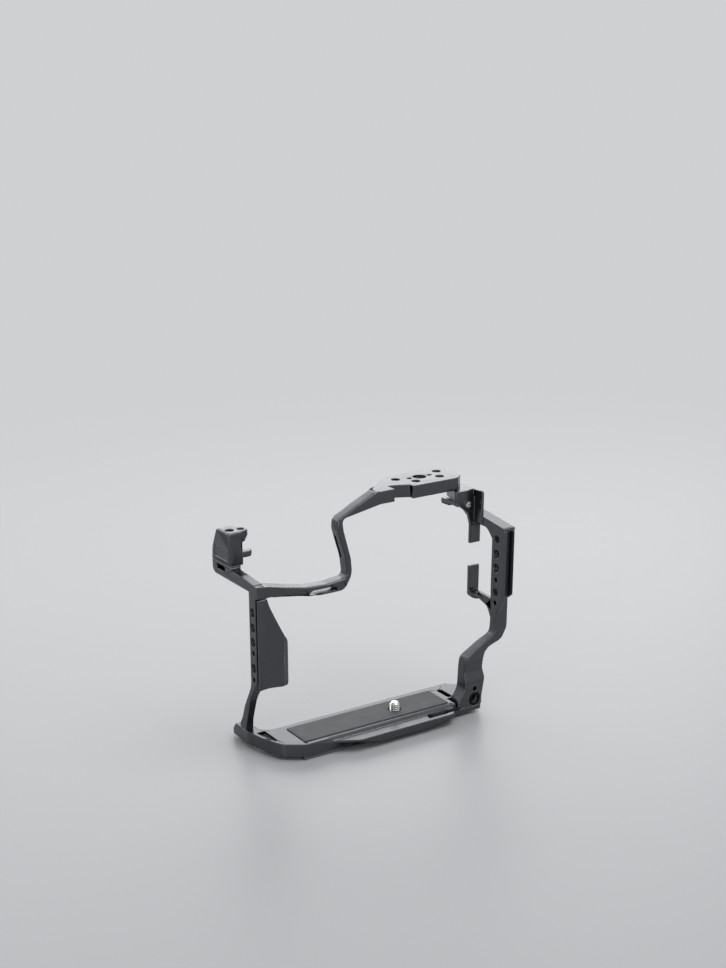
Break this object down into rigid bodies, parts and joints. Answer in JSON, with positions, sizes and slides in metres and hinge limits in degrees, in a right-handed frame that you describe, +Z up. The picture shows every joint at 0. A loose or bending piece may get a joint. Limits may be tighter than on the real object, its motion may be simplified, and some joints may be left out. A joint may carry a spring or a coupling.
{
  "type": "camera cage",
  "caption": "Machined aluminium camera cage: padded base with a captive camera screw, side columns with threaded holes, a curved bar over the grip, top plate and side accessory rail.",
  "frame": {"origin": "on the camera screw's axis at the top face of the base pad, where the camera's base sits", "axes": "+X towards the camera's port side, along the base plate; +Y from the lens side to the back; +Z up, along the camera screw"},
  "size_m": [0.1661, 0.0867, 0.148],
  "materials": {
    "anodised_frame": "bead-blasted, dark grey anodised aluminium",
    "anodised_rail": "milled, near-black anodised aluminium",
    "rubber_pad": "matt silicone rubber",
    "bright_steel": "turned stainless steel",
    "black_steel": "black oxide steel screws",
    "magnet": "nickel-plated magnet"
  },
  "bodies": {
    "frame": {"base_plate": "anodised_frame", "base_pad": "rubber_pad", "end_pad": "rubber_pad", "driver_magnets": "magnet", "main_frame": "anodised_frame", "column_screws": "black_steel", "grip_shell": "anodised_frame", "grip_shell_screws": "black_steel", "lug_block": "anodised_frame", "lug_block_screws": "black_steel", "side_frame": "anodised_frame", "foot_screws": "black_steel", "crown_screws": "black_steel", "side_rail": "anodised_rail", "side_rail_screws": "black_steel", "socket_insert": "black_steel", "tab_pads": "rubber_pad"},
    "screw_clip": {"screw_clip": "bright_steel"},
    "camera_screw": {"camera_screw": "bright_steel"},
    "driver": {"driver": "black_steel"},
    "left_hook": {"left_hook": "anodised_rail", "left_hook_pad": "rubber_pad"},
    "left_hook_screw": {"left_hook_screw": "black_steel"},
    "right_hook": {"right_hook": "anodised_rail", "right_hook_pad": "rubber_pad"},
    "right_hook_screw": {"right_hook_screw": "bright_steel"}
  },
  "joints": [
    {"name": "camera_screw_drop", "type": "slide", "parent": "frame", "child": "screw_clip", "axis": [0, 0, 1], "range_m": [-0.0028, 0]},
    {"name": "camera_screw_turn", "type": "hinge", "parent": "screw_clip", "child": "camera_screw", "pos_m": [0, 0, 0], "axis": [0, 0, 1], "continuous": true},
    {"name": "left_hook_screw_turn", "type": "hinge", "parent": "frame", "child": "left_hook_screw", "pos_m": [-0.0774, 0.0502, 0.11], "axis": [0, 0, 1], "range_deg": [0, 720]},
    {"name": "left_hook_slide", "type": "slide", "parent": "frame", "child": "left_hook", "axis": [0, 0, 1], "range_m": [0, 0.001]},
    {"name": "right_hook_screw_turn", "type": "hinge", "parent": "frame", "child": "right_hook_screw", "pos_m": [0.0592, 0.0086, 0.1202], "axis": [0, 1, 0], "range_deg": [0, 720]},
    {"name": "right_hook_slide", "type": "slide", "parent": "frame", "child": "right_hook", "axis": [0, 1, 0], "range_m": [0, 0.001]},
    {"name": "driver_lift", "type": "slide", "parent": "frame", "child": "driver", "axis": [0, 0, 1], "range_m": [0, 0.012]}
  ],
  "couplings": [
    {"joint": "left_hook_screw_turn", "follows": "left_hook_slide", "rad_per_m": 12566},
    {"joint": "right_hook_screw_turn", "follows": "right_hook_slide", "rad_per_m": 12566}
  ]
}
